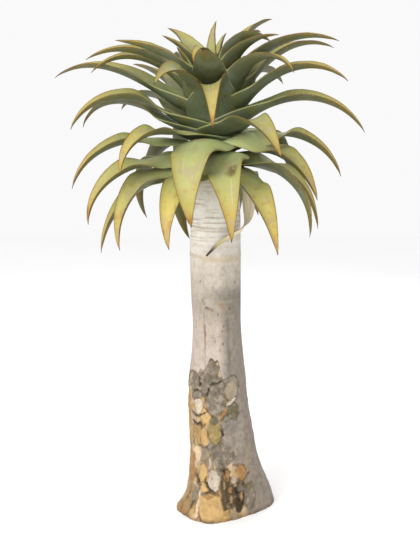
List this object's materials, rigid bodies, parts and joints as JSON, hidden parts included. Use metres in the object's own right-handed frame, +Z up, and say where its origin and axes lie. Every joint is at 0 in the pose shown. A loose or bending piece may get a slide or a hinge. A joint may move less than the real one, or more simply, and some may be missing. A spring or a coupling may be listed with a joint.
{
  "type": "quiver tree",
  "caption": "Pale tapering trunk on a flared foot, carrying a full crown of long, channelled, arching grey-green leaves with toothed margins.",
  "frame": {"origin": "centre of the flat cut under the trunk, at ground level", "axes": "+Z up along the trunk; -Y is the front, the side that is usually seen; +X is the right of a viewer facing the front"},
  "size_m": [1.1538, 0.9911, 1.9319],
  "materials": {
    "bark": "pale, powdery and smooth above; cracked and flaking to golden brown and grey at the foot",
    "leaf": "satin, waxy grey-green, paler and yellower above, with yellow-brown toothed margins",
    "dead_leaf": "dry, papery, straw-coloured"
  },
  "bodies": {
    "root": {"trunk": "bark", "leaf_01": "leaf", "leaf_02": "leaf", "leaf_03": "leaf", "leaf_04": "leaf", "leaf_05": "leaf", "leaf_06": "leaf", "leaf_07": "leaf", "leaf_08": "leaf", "leaf_09": "leaf", "leaf_10": "leaf", "leaf_11": "leaf", "leaf_12": "leaf", "leaf_13": "leaf", "leaf_14": "leaf", "leaf_15": "leaf", "leaf_16": "leaf", "leaf_17": "leaf", "leaf_18": "leaf", "leaf_19": "leaf", "leaf_20": "leaf", "leaf_21": "leaf", "leaf_22": "leaf", "leaf_23": "leaf", "leaf_24": "leaf", "leaf_25": "leaf", "leaf_26": "leaf", "leaf_27": "leaf", "leaf_28": "leaf", "leaf_29": "leaf", "leaf_30": "leaf", "leaf_31": "leaf", "leaf_32": "leaf", "leaf_33": "leaf", "leaf_34": "leaf", "leaf_35": "leaf", "leaf_36": "leaf", "leaf_37": "leaf", "leaf_38": "leaf", "leaf_39": "leaf", "leaf_40": "leaf", "leaf_41": "leaf", "leaf_42": "leaf", "leaf_43": "leaf", "leaf_44": "leaf", "leaf_45": "leaf", "leaf_46": "leaf", "leaf_47": "leaf", "leaf_48": "leaf", "leaf_49": "leaf", "leaf_50": "leaf", "leaf_51": "leaf", "leaf_52": "leaf", "leaf_53": "leaf", "leaf_54": "leaf", "leaf_55": "leaf", "leaf_56": "leaf", "leaf_57": "leaf", "dead_leaf": "dead_leaf"}
  },
  "joints": []
}
